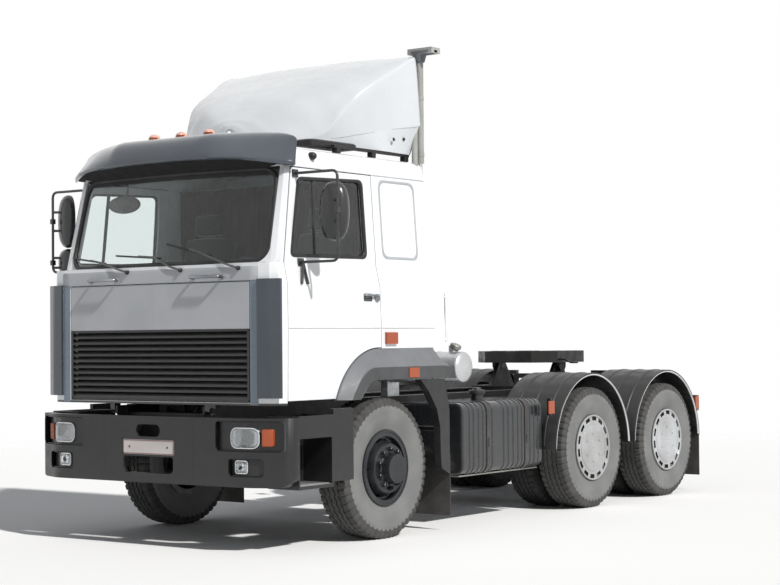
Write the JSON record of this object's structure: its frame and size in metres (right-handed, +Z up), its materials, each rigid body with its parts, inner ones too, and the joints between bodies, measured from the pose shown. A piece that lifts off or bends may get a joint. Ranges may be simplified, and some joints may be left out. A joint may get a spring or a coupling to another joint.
{
  "type": "semi truck tractor unit",
  "caption": "Cab-over tractor unit with a tilting sleeper cab, roof air deflector, steered front axle, twin driven rear axles and a fifth wheel coupling",
  "frame": {"origin": "on the ground under the middle of the overall box", "axes": "+X towards the vehicle's left side, +Y from the bumper to the tail, +Z up"},
  "size_m": [2.922, 6.57, 3.8098],
  "materials": {
    "chassis_black": "satin black chassis paint, dusty",
    "strap_black": "dark steel band",
    "engine_iron": "grey cast iron",
    "tank_dark": "semi-gloss dark charcoal paint",
    "charcoal_plastic": "grained charcoal moulding",
    "lamp_clear": "clear moulded lens",
    "lamp_amber": "moulded amber and red lens",
    "guard_plastic": "black moulded plastic, dusty",
    "flap_rubber": "matt rubber sheet",
    "silver_metal": "satin aluminium",
    "plate_iron": "greased cast iron",
    "tyre_rubber": "dusty road tyre",
    "rim_dark": "dark wheel paint",
    "rim_silver": "silver wheel and cover",
    "cab_white": "gloss white paint",
    "floor_dark": "dark floor lining",
    "window_glass": "lightly tinted glass",
    "corner_slate": "gloss slate blue-grey paint",
    "flare_grey": "moulded grey plastic",
    "deflector_grey": "gloss pale grey moulding",
    "fairing_white": "gloss white paint",
    "snorkel_grey": "mid grey moulding",
    "dash_plastic": "grained dark plastic",
    "seat_fabric": "woven dark cloth",
    "hatch_grey": "satin mid grey paint",
    "grille_black": "black moulded slats",
    "mirror_black": "black moulding"
  },
  "bodies": {
    "chassis": {"frame_rails": "chassis_black", "cross_members": "chassis_black", "tank_straps": "strap_black", "fuel_tank": "tank_dark", "battery_box": "chassis_black", "air_tanks": "chassis_black", "engine": "engine_iron", "axles": "chassis_black", "leaf_springs": "chassis_black", "propshafts": "chassis_black", "bumper": "charcoal_plastic", "clear_lamps": "lamp_clear", "step_boxes": "charcoal_plastic", "signal_lamps": "lamp_amber", "rear_mudguards": "guard_plastic", "mud_flaps": "flap_rubber", "wheel_strips": "guard_plastic", "reservoir": "silver_metal", "fifth_wheel_base": "chassis_black"},
    "cab": {"cab_shell": "cab_white", "cab_floor": "floor_dark", "roof_cap": "cab_white", "windscreen": "window_glass", "corner_panels": "corner_slate", "wheel_flares": "flare_grey", "sun_visor": "corner_slate", "cab_lamps": "lamp_amber", "roof_deflector": "deflector_grey", "side_fairings": "fairing_white", "snorkel": "snorkel_grey", "dashboard": "dash_plastic", "seats": "seat_fabric", "bunk": "seat_fabric"},
    "hatch": {"hatch_panel": "hatch_grey", "grille": "grille_black"},
    "door_left": {"door_left": "cab_white", "door_glass_left": "window_glass", "mirror_left": "mirror_black"},
    "door_right": {"door_right": "cab_white", "door_glass_right": "window_glass", "mirror_right": "mirror_black"},
    "knuckle_left": {"knuckle_left": "chassis_black"},
    "knuckle_right": {"knuckle_right": "chassis_black"},
    "track_rod": {"track_rod": "chassis_black"},
    "wheel_front_left": {"tyre_front_left": "tyre_rubber", "rim_front_left": "rim_dark"},
    "wheel_front_right": {"tyre_front_right": "tyre_rubber", "rim_front_right": "rim_dark"},
    "wheel_middle_left": {"tyres_middle_left": "tyre_rubber", "rim_middle_left": "rim_silver"},
    "wheel_middle_right": {"tyres_middle_right": "tyre_rubber", "rim_middle_right": "rim_silver"},
    "wheel_rear_left": {"tyres_rear_left": "tyre_rubber", "rim_rear_left": "rim_silver"},
    "wheel_rear_right": {"tyres_rear_right": "tyre_rubber", "rim_rear_right": "rim_silver"},
    "fifth_wheel": {"fifth_wheel_plate": "plate_iron"}
  },
  "joints": [
    {"name": "cab_tilt", "type": "hinge", "parent": "chassis", "child": "cab", "pos_m": [0, -3.135, 1], "axis": [1, 0, 0], "range_deg": [0, 55]},
    {"name": "hatch_lift", "type": "hinge", "parent": "cab", "child": "hatch", "pos_m": [0, -3.207, 1.928], "axis": [-1, 0, 0], "range_deg": [0, 80]},
    {"name": "door_left_swing", "type": "hinge", "parent": "cab", "child": "door_left", "pos_m": [1.152, -3.065, 1.9], "axis": [0, 0, -1], "range_deg": [0, 70]},
    {"name": "door_right_swing", "type": "hinge", "parent": "cab", "child": "door_right", "pos_m": [-1.152, -3.065, 1.9], "axis": [0, 0, 1], "range_deg": [0, 70]},
    {"name": "steer_left", "type": "hinge", "parent": "chassis", "child": "knuckle_left", "pos_m": [0.9, -1.895, 0.532], "axis": [0, 0, 1], "range_deg": [-32, 32]},
    {"name": "steer_right", "type": "hinge", "parent": "chassis", "child": "knuckle_right", "pos_m": [-0.9, -1.895, 0.532], "axis": [0, 0, 1], "range_deg": [-32, 32]},
    {"name": "track_rod_swing", "type": "hinge", "parent": "knuckle_left", "child": "track_rod", "pos_m": [0.9, -1.745, 0.4], "axis": [0, 0, 1], "range_deg": [-32, 32]},
    {"name": "spin_front_left", "type": "hinge", "parent": "knuckle_left", "child": "wheel_front_left", "pos_m": [1.01, -1.895, 0.532], "axis": [1, 0, 0], "continuous": true},
    {"name": "spin_front_right", "type": "hinge", "parent": "knuckle_right", "child": "wheel_front_right", "pos_m": [-1.01, -1.895, 0.532], "axis": [1, 0, 0], "continuous": true},
    {"name": "spin_middle_left", "type": "hinge", "parent": "chassis", "child": "wheel_middle_left", "pos_m": [0.935, 1.055, 0.532], "axis": [1, 0, 0], "continuous": true},
    {"name": "spin_middle_right", "type": "hinge", "parent": "chassis", "child": "wheel_middle_right", "pos_m": [-0.935, 1.055, 0.532], "axis": [1, 0, 0], "continuous": true},
    {"name": "spin_rear_left", "type": "hinge", "parent": "chassis", "child": "wheel_rear_left", "pos_m": [0.935, 2.455, 0.532], "axis": [1, 0, 0], "continuous": true},
    {"name": "spin_rear_right", "type": "hinge", "parent": "chassis", "child": "wheel_rear_right", "pos_m": [-0.935, 2.455, 0.532], "axis": [1, 0, 0], "continuous": true},
    {"name": "fifth_wheel_tilt", "type": "hinge", "parent": "chassis", "child": "fifth_wheel", "pos_m": [0, 1.98, 1.23], "axis": [1, 0, 0], "range_deg": [-12, 12]}
  ],
  "couplings": [
    {"joint": "steer_right", "follows": "steer_left", "ratio": 1},
    {"joint": "track_rod_swing", "follows": "steer_left", "ratio": -1}
  ]
}
